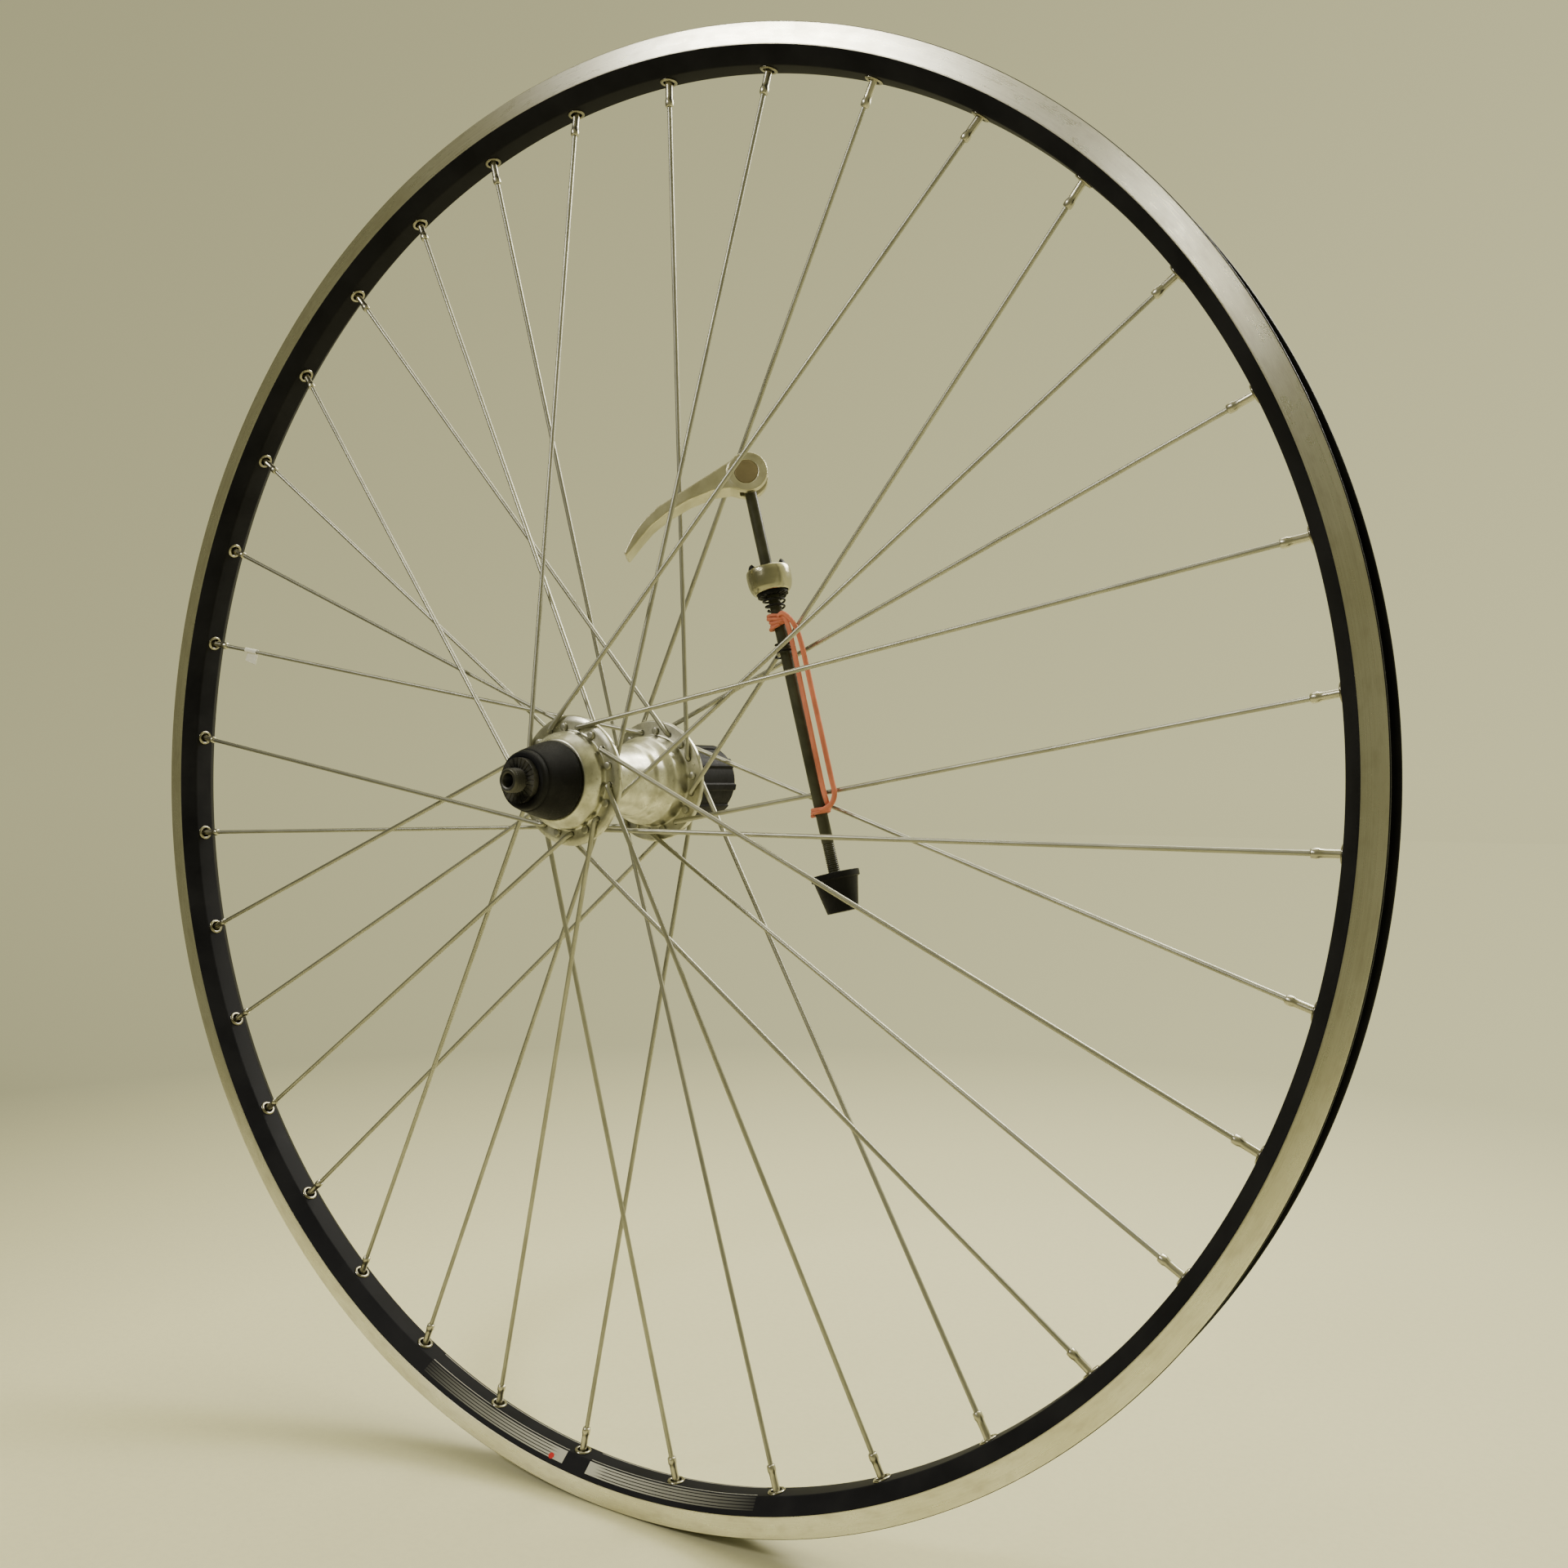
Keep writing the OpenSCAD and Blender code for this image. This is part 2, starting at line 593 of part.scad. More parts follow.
// small paper tag folded over one spoke
tag_from_rim = 26;
tag_l = 9;
tag_angle = 161.38;
module spoke_tag() color("#e4e2d8") {
    g = GROUPS[2];
    p = rim_end(g, 4) - spoke_dir(g, 4) * tag_from_rim;
    u = spoke_dir(g, 4);
    difference() {
        union() {
            bar(p, p - u * tag_l, spoke_r + 0.35);
            translate(p - u * tag_l / 2 + [0, 0, -3.4]) rotate([0, -tag_angle, 0])
                cube([tag_l, 0.4, 6], center = true);
        }
        bar(p, p - u * tag_l, spoke_r + fit, grow = 1);
    }
}

rim();
rim_sleeve();
eyelets();
nipples();
spokes_left_outer();
spokes_left_inner();
spokes_right_inner();
spokes_right_outer();
hub_shell();
left_cup();
left_dust_cap();
left_balls();
axle();
left_cone();
left_washer();
left_spacer();
left_locknut();
left_boot();
right_cone();
right_spacer();
right_locknut();
right_balls();
right_cup();
right_dust_cap();
freehub_inner();
freehub_bolt();
freehub_shell();
freehub_balls_inboard();
freehub_balls_outboard();
pawl_a();
pawl_b();
pawl_spring();
skewer_rod();
cam_pin();
lever();
cup();
cup_saddle();
cup_washer();
spring_lever_side();
spring_nut_side();
nut_insert();
skewer_nut();
rubber_band();
spoke_tag();
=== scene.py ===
"""The looks of a rear bicycle wheel and its skewer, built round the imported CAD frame, in metres."""

import json
import math

import bmesh
import bpy
from mathutils import Matrix, Vector, noise


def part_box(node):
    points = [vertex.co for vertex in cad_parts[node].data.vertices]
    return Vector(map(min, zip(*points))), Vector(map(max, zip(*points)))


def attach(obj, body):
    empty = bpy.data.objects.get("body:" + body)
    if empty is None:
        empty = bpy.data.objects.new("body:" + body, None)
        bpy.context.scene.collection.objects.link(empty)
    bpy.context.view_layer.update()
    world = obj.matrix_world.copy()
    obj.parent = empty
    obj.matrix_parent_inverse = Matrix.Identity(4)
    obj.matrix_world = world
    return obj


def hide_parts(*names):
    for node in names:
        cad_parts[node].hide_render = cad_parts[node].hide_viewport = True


MM = 0.001
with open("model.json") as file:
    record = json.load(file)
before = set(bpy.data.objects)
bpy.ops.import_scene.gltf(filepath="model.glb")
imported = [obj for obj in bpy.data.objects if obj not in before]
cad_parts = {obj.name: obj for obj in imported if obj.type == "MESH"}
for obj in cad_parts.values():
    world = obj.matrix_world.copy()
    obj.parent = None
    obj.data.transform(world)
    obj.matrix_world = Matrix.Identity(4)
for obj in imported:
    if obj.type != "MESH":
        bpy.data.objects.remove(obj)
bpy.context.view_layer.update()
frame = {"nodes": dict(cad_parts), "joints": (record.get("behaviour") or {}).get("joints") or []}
joints = {j["name"]: j for j in frame["joints"]}

# ---------------------------------------------------------------- camera
# fitted to the places of the eyelets in the photo

scene = bpy.context.scene
camera_data = bpy.data.cameras.new("camera")
camera_data.lens = 32.675
camera_data.sensor_width = 36
camera = bpy.data.objects.new("camera", camera_data)
scene.collection.objects.link(camera)
look = Vector((-0.54717, 0.83702, 0.00014)).normalized()
side = look.cross(Vector((0, 0, 1))).normalized()
head_up = side.cross(look)
camera.matrix_world = Matrix.Translation((0.40164, -0.48641, -0.00157)) @ Matrix(
    (side, head_up, -look)
).transposed().to_4x4()
scene.camera = camera

# ---------------------------------------------------------------- sizes

# the rim's outer sizes come from the frame
rim_low, rim_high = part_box("rim")
RIM_R = rim_high.x
HALF_W = rim_high.y
TRACK_IN = RIM_R - 9 * MM
BED_R = 302.2 * MM
BED_HALF = 4.5 * MM
FIRST_HOLE = 5.38
HOLES = 36
PITCH = 360 / HOLES
EYELET_HOLE_R = 3.0 * MM
ACCESS_HOLE_R = 3.6 * MM
VALVE_ANGLE = FIRST_HOLE + 34.5 * PITCH
VALVE_HOLE_R = 3.25 * MM
SPOKE_R = 1.0 * MM
HOLE_CIRCLE = 22.6 * MM
FLANGE_HOLE_R = 1.3 * MM
FLANGE_MIDDLES = {"left": -35.6, "right": 21.0}
# node, first rim angle, lead of the hub hole, then in mm y of the elbow and of the flange face at
# the head, and the side that the head is on
GROUPS = [
    ("spokes_left_outer", FIRST_HOLE + PITCH, 60, -39.1, -34.0, 1),
    ("spokes_left_inner", FIRST_HOLE - PITCH, -60, -32.8, -37.2, -1),
    ("spokes_right_inner", FIRST_HOLE, -60, 18.2, 22.6, 1),
    ("spokes_right_outer", FIRST_HOLE - 2 * PITCH, 60, 24.5, 19.4, -1),
]
PER_GROUP = HOLES // len(GROUPS)
GROUP_PITCH = PITCH * len(GROUPS)
# the skewer's rod, and the cam's round and its place below the pin, in millimetres
ROD_R = 2.5
CAM_R = 6.4
CAM_AT = 36

swing = joints["lever_swing"]
travel = joints["nut_travel"]
PIN = Vector(swing["pos_m"])
PIN_AXIS = Vector(swing["axis"]).normalized()
DOWN_ROD = Vector(travel["axis"]).normalized()
ACROSS_ROD = PIN_AXIS.cross(-DOWN_ROD).normalized()
SKEWER = Matrix.Translation(PIN) @ Matrix((ACROSS_ROD, PIN_AXIS, -DOWN_ROD)).transposed().to_4x4()

# ---------------------------------------------------------------- mesh helpers


def link(name, mesh):
    piece = bpy.data.objects.new(name, mesh)
    scene.collection.objects.link(piece)
    return piece


def shade_smooth(mesh):
    mesh.polygons.foreach_set("use_smooth", [True] * len(mesh.polygons))


def mesh_piece(name, vertices, faces):
    mesh = bpy.data.meshes.new(name)
    mesh.from_pydata(vertices, [], faces)
    mesh.validate()
    bm = bmesh.new()
    bm.from_mesh(mesh)
    bmesh.ops.recalc_face_normals(bm, faces=bm.faces)
    bm.to_mesh(mesh)
    bm.free()
    shade_smooth(mesh)
    return link(name, mesh)


def sharpen(piece, degrees):
    """Edges sharper than this stay crisp on a smooth-shaded piece."""
    piece.data.set_sharp_from_angle(angle=math.radians(degrees))
    return piece


def apply_modifiers(piece):
    depsgraph = bpy.context.evaluated_depsgraph_get()
    done = bpy.data.meshes.new_from_object(piece.evaluated_get(depsgraph))
    piece.modifiers.clear()
    piece.data = done


def polar(r, degrees, y=0.0):
    a = math.radians(degrees)
    return Vector((r * math.cos(a), y, r * math.sin(a)))


def rounded(points, radius, steps):
    """A closed outline with each corner turned into an arc of about that radius."""
    out = []
    count = len(points)
    for i, here in enumerate(points):
        p = Vector(here)
        before = Vector(points[i - 1]) - p
        after = Vector(points[(i + 1) % count]) - p
        cut = min(radius, before.length * 0.45, after.length * 0.45)
        a = p + before.normalized() * cut
        b = p + after.normalized() * cut
        for k in range(steps + 1):
            t = k / steps
            out.append((1 - t) ** 2 * a + 2 * t * (1 - t) * p + t * t * b)
    return out


def full_turn(steps):
    """The angles of a circle cut into equal steps."""
    return [2 * math.pi * s / steps for s in range(steps)]


def ring_faces(steps, around):
    """Faces between copies of a closed outline of that many points, set in steps round a ring."""
    faces = []
    for s in range(steps):
        here, there = s * around, ((s + 1) % steps) * around
        for k in range(around):
            m = (k + 1) % around
            faces.append((here + k, here + m, there + m, there + k))
    return faces


def lathe(name, outline, steps):
    """Turns a closed outline of (radius, y) about the Y axis."""
    vertices = [(r * math.cos(a), y, r * math.sin(a)) for a in full_turn(steps) for r, y in outline]
    return mesh_piece(name, vertices, ring_faces(steps, len(outline)))


def tube_data(path, radii, sides, flat=1.0, up=None):
    """Vertices and faces of a tube with one radius for each point. flat thins it across up."""
    points = [Vector(p) for p in path]
    count = len(points)
    tangents = [
        (points[min(i + 1, count - 1)] - points[max(i - 1, 0)]).normalized() for i in range(count)
    ]
    up = up or (Vector((0, 0, 1)) if abs(tangents[0].z) < 0.8 else Vector((1, 0, 0)))
    normal = (up - tangents[0] * up.dot(tangents[0])).normalized()
    vertices, faces = [], []
    for i in range(count):
        normal = (normal - tangents[i] * normal.dot(tangents[i])).normalized()
        other = tangents[i].cross(normal)
        for a in full_turn(sides):
            outward = math.cos(a) * normal + flat * math.sin(a) * other
            vertices.append(points[i] + radii[i] * outward)
    for i in range(count - 1):
        for k in range(sides):
            m = (k + 1) % sides
            faces.append((i * sides + k, i * sides + m, (i + 1) * sides + m, (i + 1) * sides + k))
    faces.append(tuple(range(sides))[::-1])
    faces.append(tuple(range((count - 1) * sides, count * sides)))
    return vertices, faces


def joined(name, parts, degrees=40):
    """One piece from several (vertices, faces) lists."""
    vertices, faces = [], []
    for v, f in parts:
        start = len(vertices)
        vertices += v
        faces += [tuple(start + i for i in face) for face in f]
    return sharpen(mesh_piece(name, vertices, faces), degrees)


def cut_with(piece, cutters):
    """Takes the joined cutters out of a piece."""
    tool = joined("cutter", cutters)
    cut = piece.modifiers.new("cut", "BOOLEAN")
    cut.operation = "DIFFERENCE"
    cut.solver = "EXACT"
    cut.object = tool
    apply_modifiers(piece)
    bpy.data.objects.remove(tool)


def softened(node, name, voxel, passes):
    """A copy of a CAD node's mesh with its edges rounded off."""
    piece = link(name, frame["nodes"][node].data.copy())
    remesh = piece.modifiers.new("remesh", "REMESH")
    remesh.mode = "VOXEL"
    remesh.voxel_size = voxel
    remesh.use_smooth_shade = True
    smooth = piece.modifiers.new("smooth", "SMOOTH")
    smooth.factor = 0.5
    smooth.iterations = passes
    apply_modifiers(piece)
    shade_smooth(piece.data)
    return piece


# ---------------------------------------------------------------- material helpers


class Nodes:
    """A node tree, with short names for the nodes that this script uses."""

    def __init__(self, tree):
        self.tree = tree

    def node(self, kind, **settings):
        made = self.tree.nodes.new(kind)
        for key, value in settings.items():
            setattr(made, key, value)
        return made

    def join(self, a, b):
        self.tree.links.new(a, b)

    def math(self, operation, a, b=None):
        made = self.node("ShaderNodeMath", operation=operation)
        for socket, value in zip(made.inputs, (a, b)):
            if value is None:
                continue
            if isinstance(value, (int, float)):
                socket.default_value = value
            else:
                self.join(value, socket)
        return made.outputs[0]

    def length(self, a, b):
        return self.math("SQRT", self.math("ADD", self.product(a, a), self.product(b, b)))

    def blend(self, a, b, share):
        """Two values added, with b given the share and a the rest of it."""
        return self.math("ADD", self.product(a, 1 - share), self.product(b, share))

    def product(self, *values):
        """All the values multiplied together."""
        total = values[0]
        for value in values[1:]:
            total = self.math("MULTIPLY", total, value)
        return total

    def between(self, value, low, high):
        above = self.math("GREATER_THAN", value, low)
        return self.product(above, self.math("LESS_THAN", value, high))

    def noise(self, place, scale, detail, roughness=0.55):
        made = self.node("ShaderNodeTexNoise")
        made.inputs["Scale"].default_value = scale
        made.inputs["Detail"].default_value = detail
        made.inputs["Roughness"].default_value = roughness
        self.join(place, made.inputs["Vector"])
        return made.outputs[0]

    def ramp(self, value, stops):
        """stops is a list of (position, grey level)."""
        made = self.node("ShaderNodeValToRGB")
        elements = made.color_ramp.elements
        while len(elements) < len(stops):
            elements.new(0.5)
        for element, (position, level) in zip(elements, stops):
            element.position = position
            element.color = (level, level, level, 1)
        self.join(value, made.inputs[0])
        return made.outputs[0]

    def mix(self, factor, a, b):
        made = self.node("ShaderNodeMix", data_type="RGBA")
        for socket, value in ((made.inputs[0], factor), (made.inputs[6], a), (made.inputs[7], b)):
            if isinstance(value, (int, float)):
                socket.default_value = value
            elif isinstance(value, tuple):
                socket.default_value = (*value, 1)
            else:
                self.join(value, socket)
        return made.outputs[2]

    def patches(self, value, low, high, a, b, most=1.0):
        """Colour a where the value is below low, and b, or most of b, where it is above high."""
        return self.mix(self.ramp(value, [(low, 0.0), (high, most)]), a, b)

    def range(self, value, low, high, to_low, to_high):
        made = self.node("ShaderNodeMapRange")
        for socket, number in zip(made.inputs[1:5], (low, high, to_low, to_high)):
            socket.default_value = number
        self.join(value, made.inputs[0])
        return made.outputs[0]


class Graph(Nodes):
    """A material's node tree, with its shader's sockets."""

    def __init__(self, name, **sockets):
        self.material = bpy.data.materials.new(name)
        self.material.use_nodes = True
        super().__init__(self.material.node_tree)
        self.shader = self.tree.nodes["Principled BSDF"]
        for socket, value in sockets.items():
            self.shader.inputs[socket.replace("_", " ")].default_value = value
        self.place = self.node("ShaderNodeTexCoord").outputs["Object"]

    def xyz(self):
        split = self.node("ShaderNodeSeparateXYZ")
        self.join(self.place, split.inputs[0])
        return split.outputs

    def wheel_place(self, radial, along, around):
        """Coordinates that follow the wheel: radius, place along the axle and angle, all scaled."""
        x, y, z = self.xyz()
        merge = self.node("ShaderNodeCombineXYZ")
        parts = ((self.length(x, z), radial), (y, along), (self.math("ARCTAN2", z, x), around))
        for (value, scale), socket in zip(parts, merge.inputs):
            self.join(self.math("MULTIPLY", value, scale), socket)
        return merge.outputs[0]

    def colour(self, value):
        self.join(value, self.shader.inputs["Base Color"])

    def rough(self, value, low, high):
        """Roughness from low to high over the middle of a noise's range."""
        self.join(self.range(value, 0.3, 0.7, low, high), self.shader.inputs["Roughness"])

    def metal(self, value):
        self.join(value, self.shader.inputs["Metallic"])

    def bump(self, value, strength, distance):
        made = self.node("ShaderNodeBump")
        made.inputs["Strength"].default_value = strength
        made.inputs["Distance"].default_value = distance
        self.join(value, made.inputs["Height"])
        self.join(made.outputs[0], self.shader.inputs["Normal"])


def metal(name, colour, rough, grain, tint=0.15, bump=0.05):
    """Bare metal with fine grain and slow patches of tarnish."""
    g = Graph(name, Metallic=1.0)
    fine = g.noise(g.place, grain, 5)
    slow = g.noise(g.place, 60, 4)
    darker = tuple(c * (1 - tint) for c in colour)
    g.colour(g.patches(slow, 0.35, 0.65, colour, darker))
    g.rough(g.blend(fine, slow, 0.5), *rough)
    g.bump(fine, bump, 0.0001)
    return g.material


def coated(name, colour, rough, worn=(0.3, 0.29, 0.27), wear=0.0, coat=0.0):
    """Black oxide or moulded plastic, with a little dust, and bare edges where wear is above 0."""
    g = Graph(name, Coat_Weight=coat, Specular_IOR_Level=0.12)
    fine = g.noise(g.place, 700, 4)
    slow = g.noise(g.place, 90, 5)
    lighter = tuple(min(1, c * 1.6 + 0.005) for c in colour)
    base = g.patches(slow, 0.4, 0.72, colour, lighter)
    if wear:
        pointed = g.node("ShaderNodeNewGeometry").outputs["Pointiness"]
        edge = g.ramp(pointed, [(0.53, 0.0), (0.6, 1.0)])
        scuffed = g.product(edge, g.ramp(slow, [(0.42, 0.0), (0.6, 1.0)]), wear)
        base = g.mix(scuffed, base, worn)
        g.metal(scuffed)
    g.colour(base)
    g.rough(fine, *rough)
    g.bump(fine, 0.12, 0.00015)
    return g.material


# ---------------------------------------------------------------- materials

# first and last angle of each striped decal, and the end of it that is silver
DECALS = [(247.5, 264.5, "last"), (267.0, 284.0, "first")]
# distances from the rim's middle plane, in mm: the striped part, its thin edge line and the red dot
DECAL_SLOPE = (4.7, 8.6)
DECAL_EDGE = (3.4, 3.8)
DOT_ACROSS = 7.9
DOT_ANGLE = 263.2
DOT_R = 0.95
# turns degrees along the rim into millimetres across it, so that the dot is a long oval
DOT_SQUEEZE = 3.4


def around_axle(g):
    """Turns a material's grain about the Y axis."""
    tangent = g.node("ShaderNodeTangent", direction_type="RADIAL", axis="Y")
    g.join(tangent.outputs[0], g.shader.inputs["Tangent"])


def track_material():
    """Brake track: bare alloy turned in fine rings, rubbed darker where the pads ran."""
    g = Graph("rim_track", Metallic=1.0, Anisotropic=0.9, Anisotropic_Rotation=0.25)
    rings = g.noise(g.wheel_place(2600, 0, 2.5), 1.0, 3, 0.6)
    streaks = g.noise(g.wheel_place(260, 0, 26), 1.0, 4, 0.6)
    film = g.noise(g.place, 22, 4)
    clean = g.patches(film, 0.35, 0.7, (0.86, 0.84, 0.72), (0.74, 0.71, 0.56))
    ringed = g.mix(g.ramp(rings, [(0.32, 0.22), (0.6, 0.0)]), clean, (0.42, 0.40, 0.32))
    g.colour(g.patches(streaks, 0.5, 0.74, ringed, (0.52, 0.48, 0.38), 0.5))
    g.rough(g.blend(rings, streaks, 0.6), 0.24, 0.34)
    around_axle(g)
    return g.material


def rim_material():
    """Black anodised alloy, with two striped decals on its slopes and a red dot beside one."""
    g = Graph("rim_black", Specular_IOR_Level=0.08)
    x, y, z = g.xyz()
    turns = g.math("ADD", g.math("DIVIDE", g.math("ARCTAN2", z, x), 2 * math.pi), 1.0)
    angle = g.math("MULTIPLY", g.math("FRACT", turns), 360.0)
    across = g.math("DIVIDE", g.math("ABSOLUTE", y), MM)
    blotches = g.noise(g.place, 38, 5)
    fine = g.noise(g.place, 900, 3)
    body = g.patches(blotches, 0.4, 0.75, (0.006, 0.006, 0.009), (0.014, 0.014, 0.018))
    for first, last, silver_end in DECALS:
        near, far = (last, first) if silver_end == "last" else (first, last)
        fade = g.range(angle, near, far, 1.0, 0.05)
        stripes = g.math("LESS_THAN", g.math("FRACT", g.math("MULTIPLY", across, 1.1)), 0.7)
        solid_or_striped = g.math("MAXIMUM", stripes, g.range(fade, 0.9, 0.96, 0, 1))
        panel = g.product(g.between(across, *DECAL_SLOPE), solid_or_striped, fade)
        edge = g.product(g.between(across, *DECAL_EDGE), 0.6)
        printed = g.product(g.between(angle, first, last), g.math("MAXIMUM", panel, edge))
        body = g.mix(printed, body, (0.47, 0.465, 0.43))
    from_dot = g.math("MULTIPLY", g.math("SUBTRACT", angle, DOT_ANGLE), DOT_SQUEEZE)
    off_line = g.math("SUBTRACT", across, DOT_ACROSS)
    body = g.mix(g.math("LESS_THAN", g.length(from_dot, off_line), DOT_R), body, (0.5, 0.03, 0.03))
    g.colour(body)
    g.rough(blotches, 0.46, 0.6)
    g.bump(fine, 0.06, 0.0001)
    return g.material


def hub_material():
    """Polished alloy with turning marks round the axle, water spots and patches of grey film."""
    g = Graph("hub", Metallic=1.0, Anisotropic=0.5, Anisotropic_Rotation=0.25)
    lines = g.noise(g.wheel_place(5000, 5000, 3), 1.0, 3, 0.6)
    film = g.noise(g.place, 120, 6)
    spots = g.noise(g.place, 620, 2)
    clean = g.patches(film, 0.38, 0.66, (0.72, 0.71, 0.60), (0.42, 0.41, 0.33))
    g.colour(g.patches(spots, 0.62, 0.72, clean, (0.34, 0.32, 0.24), 0.5))
    g.rough(g.blend(lines, film, 0.7), 0.24, 0.40)
    around_axle(g)
    g.bump(lines, 0.12, 0.00005)
    return g.material


def rubber_material(name, colour, grain=1400.0):
    """Dull rubber with a fine skin and a little dust."""
    g = Graph(name, Specular_IOR_Level=0.12)
    fine = g.noise(g.place, grain, 5)
    dust = g.noise(g.place, 70, 5)
    dusty = tuple(min(1, c * 1.5 + 0.009) for c in colour)
    g.colour(g.patches(dust, 0.45, 0.8, colour, dusty))
    g.rough(fine, 0.45, 0.68)
    g.bump(fine, 0.3, 0.00012)
    return g.material


def lever_material():
    """Cast alloy, satin, with a warm film that is thicker in places."""
    g = Graph("lever", Metallic=1.0)
    fine = g.noise(g.place, 1300, 4)
    slow = g.noise(g.place, 85, 4)
    g.colour(g.patches(slow, 0.38, 0.68, (0.68, 0.65, 0.49), (0.52, 0.49, 0.35)))
    g.rough(fine, 0.32, 0.46)
    g.bump(fine, 0.12, 0.00008)
    return g.material


# how bright the backdrop is at the far left and at the far right of the camera, and the floor's
# painted glow with it
SIDE_LEVELS = (0.28, 0.72)


def floor_material(colour, glow):
    """Pale near the wheel; further out it glows in the backdrop's tone as painted light, dimmer to
    the left and towards the front, so that no horizon shows.
    """
    g = Graph("floor", Roughness=0.8)
    x, y, _z = g.xyz()
    away = g.length(x, y)
    speckle = g.noise(g.place, 300, 3)
    g.colour(g.patches(speckle, 0.4, 0.7, colour, (0.3, 0.28, 0.2), 0.06))
    sideways = g.math("ADD", g.math("MULTIPLY", x, side.x), g.math("MULTIPLY", y, side.y))
    left, right = (2 * level for level in SIDE_LEVELS)
    # painted light: the far floor glows, dimmer to the left and towards the front
    painted_glow_leaning = g.range(g.math("DIVIDE", sideways, away), -1, 1, left, right)
    shine = g.node("ShaderNodeEmission")
    shine.inputs[0].default_value = (*glow, 1)
    g.join(g.product(painted_glow_leaning, g.range(y, -1.2, 0.4, 0.48, 1.0)), shine.inputs[1])
    blend = g.node("ShaderNodeMixShader")
    g.join(g.range(away, 0.35, 1.1, 0, 1), blend.inputs[0])
    g.join(g.shader.outputs[0], blend.inputs[1])
    g.join(shine.outputs[0], blend.inputs[2])
    g.join(blend.outputs[0], g.tree.nodes["Material Output"].inputs["Surface"])
    return g.material


MATERIALS = {
    "rim": rim_material(),
    "track": track_material(),
    "hub": hub_material(),
    "eyelet": metal("eyelet", (0.36, 0.34, 0.27), (0.16, 0.3), 1200, tint=0.4, bump=0.02),
    "nipple": metal("nipple", (0.55, 0.53, 0.43), (0.26, 0.36), 400, tint=0.3, bump=0.0),
    "spoke": metal("spoke", (0.41, 0.405, 0.34), (0.40, 0.46), 60, tint=0.2, bump=0.0),
    "steel": metal("steel", (0.58, 0.57, 0.54), (0.22, 0.42), 1000, tint=0.25),
    "ball": metal("ball", (0.82, 0.82, 0.82), (0.04, 0.1), 600, bump=0.01),
    "axle": metal("axle_steel", (0.09, 0.088, 0.085), (0.3, 0.5), 1500, bump=0.1),
    "boot": rubber_material("boot", (0.004, 0.004, 0.006)),
    "black_steel": coated("black_steel", (0.006, 0.006, 0.007), (0.36, 0.5), wear=0.2),
    "freehub": coated("freehub", (0.003, 0.003, 0.006), (0.5, 0.65), (0.30, 0.27, 0.2), wear=0.12),
    "rod": coated("rod", (0.040, 0.040, 0.026), (0.3, 0.42), coat=0.2),
    "plastic": coated("plastic", (0.006, 0.006, 0.008), (0.4, 0.55)),
    "insert": coated("insert", (0.72, 0.70, 0.62), (0.4, 0.55)),
    "pin": metal("pin", (0.40, 0.33, 0.20), (0.4, 0.52), 900, tint=0.35),
    "lever": lever_material(),
    "cup": metal("cup", (0.46, 0.44, 0.32), (0.2, 0.28), 500, tint=0.2, bump=0.02),
    "band": rubber_material("band", (0.60, 0.19, 0.12), 1100),
    "tag": coated("tag", (0.74, 0.73, 0.67), (0.45, 0.6)),
}


def finish(piece, material, body, slot, *nodes):
    """Gives a piece its material and its body, and hides the CAD nodes that it stands for; its slot
    is not used.
    """
    piece.data.materials.clear()
    piece.data.materials.append(MATERIALS[material])
    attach(piece, body)
    if nodes:
        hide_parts(*nodes)


# the nodes that are shown as their own CAD meshes
CAD_LOOKS = {
    "ball": ("left_balls", "right_balls", "freehub_balls_inboard", "freehub_balls_outboard"),
    "black_steel": ("left_spacer", "left_locknut", "right_locknut"),
    "insert": ("nut_insert",),
    "steel": (
        "rim_sleeve", "left_cup", "left_dust_cap", "left_cone", "left_washer",
        "right_cup", "right_dust_cap", "right_cone", "right_spacer",
        "freehub_inner", "freehub_bolt", "pawl_a", "pawl_b", "pawl_spring",
    ),
}
for look_name, shown in CAD_LOOKS.items():
    for node in shown:
        cad_mesh = frame["nodes"][node].data
        cad_mesh.materials.clear()
        cad_mesh.materials.append(MATERIALS[look_name])
        shade_smooth(cad_mesh)
        cad_mesh.set_sharp_from_angle(angle=math.radians(30))

# ---------------------------------------------------------------- rim


def rim_outline():
    """The rim's section, as (radius, y), with rounded corners."""
    half = [
        (BED_R, BED_HALF), (TRACK_IN, HALF_W), (RIM_R, HALF_W), (RIM_R, HALF_W - 1.7 * MM),
        (RIM_R - 1.4 * MM, HALF_W - 2.1 * MM), (RIM_R - 4.5 * MM, HALF_W - 1.6 * MM),
        (RIM_R - 6 * MM, HALF_W - 2.2 * MM), (RIM_R - 6.4 * MM, HALF_W - 5.2 * MM),
        (RIM_R - 8 * MM, BED_HALF - 0.6 * MM),
    ]
    full = half + [(r, -y) for r, y in reversed(half)]
    return rounded(full, 0.6 * MM, 4)


def rod_data(a, b, radius, sides=32):
    return tube_data([a, b], [radius, radius], sides)


def radial_rod(angle, inner, outer, radius):
    """A rod that points away from the axle, between two distances from it."""
    return rod_data(polar(inner, angle), polar(outer, angle), radius)


def spoke_angles():
    return [FIRST_HOLE + i * PITCH for i in range(HOLES)]


